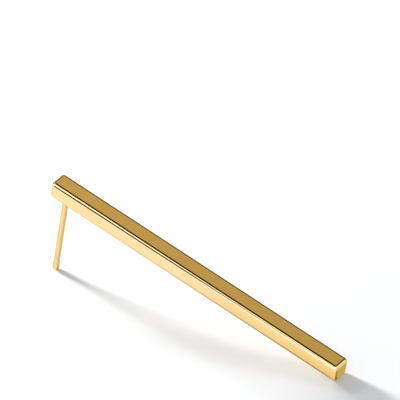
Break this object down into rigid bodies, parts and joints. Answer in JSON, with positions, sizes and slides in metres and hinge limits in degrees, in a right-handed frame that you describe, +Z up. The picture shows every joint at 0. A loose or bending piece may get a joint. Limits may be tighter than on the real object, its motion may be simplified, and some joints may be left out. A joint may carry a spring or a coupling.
{
  "type": "bar earring",
  "caption": "Straight square-section bar stud earring with softly rounded edges and a round friction post soldered to its back, lying on its post tip and lower end.",
  "frame": {"origin": "on the surface that the earring lies on, under the middle of its bounding box", "axes": "+Z up from the surface; +X along the bar, from the raised end that carries the post to the end that rests on the surface; +Y across the bar's face"},
  "size_m": [0.0404, 0.0022, 0.0131],
  "materials": {
    "polished_gold": "mirror-polished yellow gold plating"
  },
  "bodies": {
    "root": {"bar_with_post": "polished_gold"}
  },
  "joints": []
}
